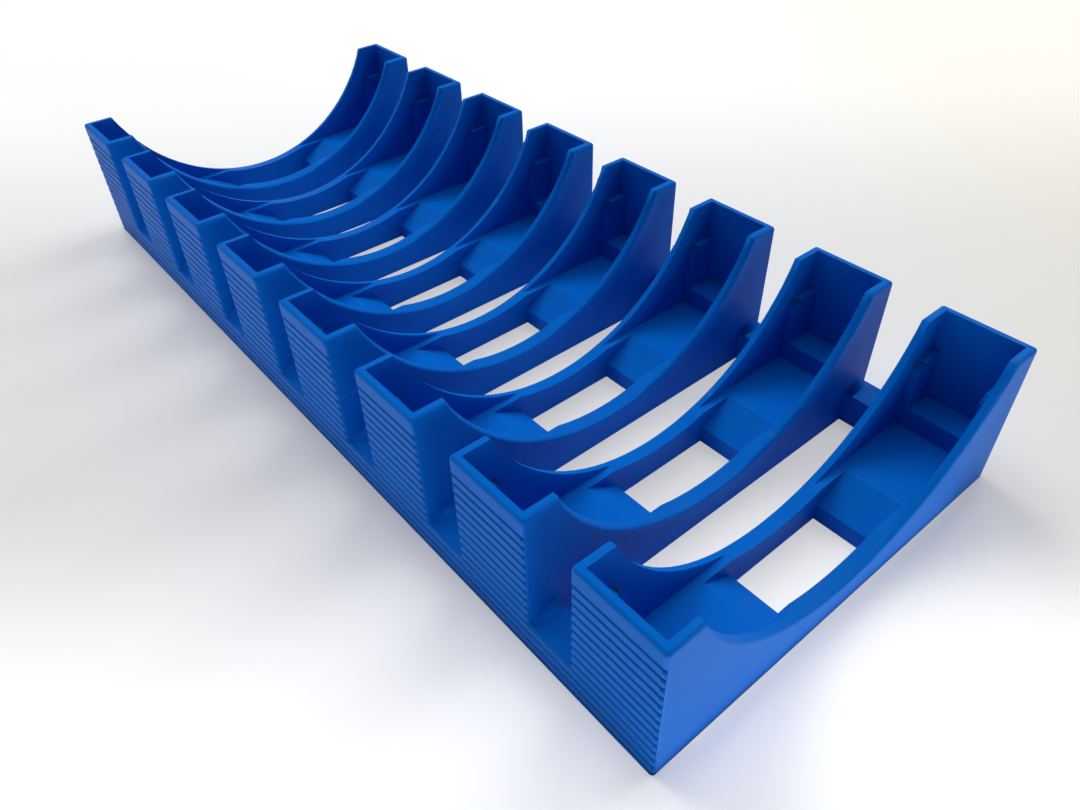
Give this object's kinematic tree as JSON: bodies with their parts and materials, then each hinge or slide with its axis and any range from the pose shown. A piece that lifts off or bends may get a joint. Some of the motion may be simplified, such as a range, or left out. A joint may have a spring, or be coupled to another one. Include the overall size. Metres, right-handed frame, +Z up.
{
  "type": "petri dish rack",
  "caption": "Bench rack that holds round culture dishes on edge in a row of open channels with dipped side walls and drain holes.",
  "frame": {"origin": "bottom centre of the rack, on the surface that it stands on", "axes": "+X along the row of channels, +Y from the grooved front to the rear, +Z up"},
  "size_m": [0.3058, 0.131, 0.0447],
  "materials": {
    "blue_plastic": "satin"
  },
  "bodies": {
    "root": {"rack": "blue_plastic"}
  },
  "joints": []
}
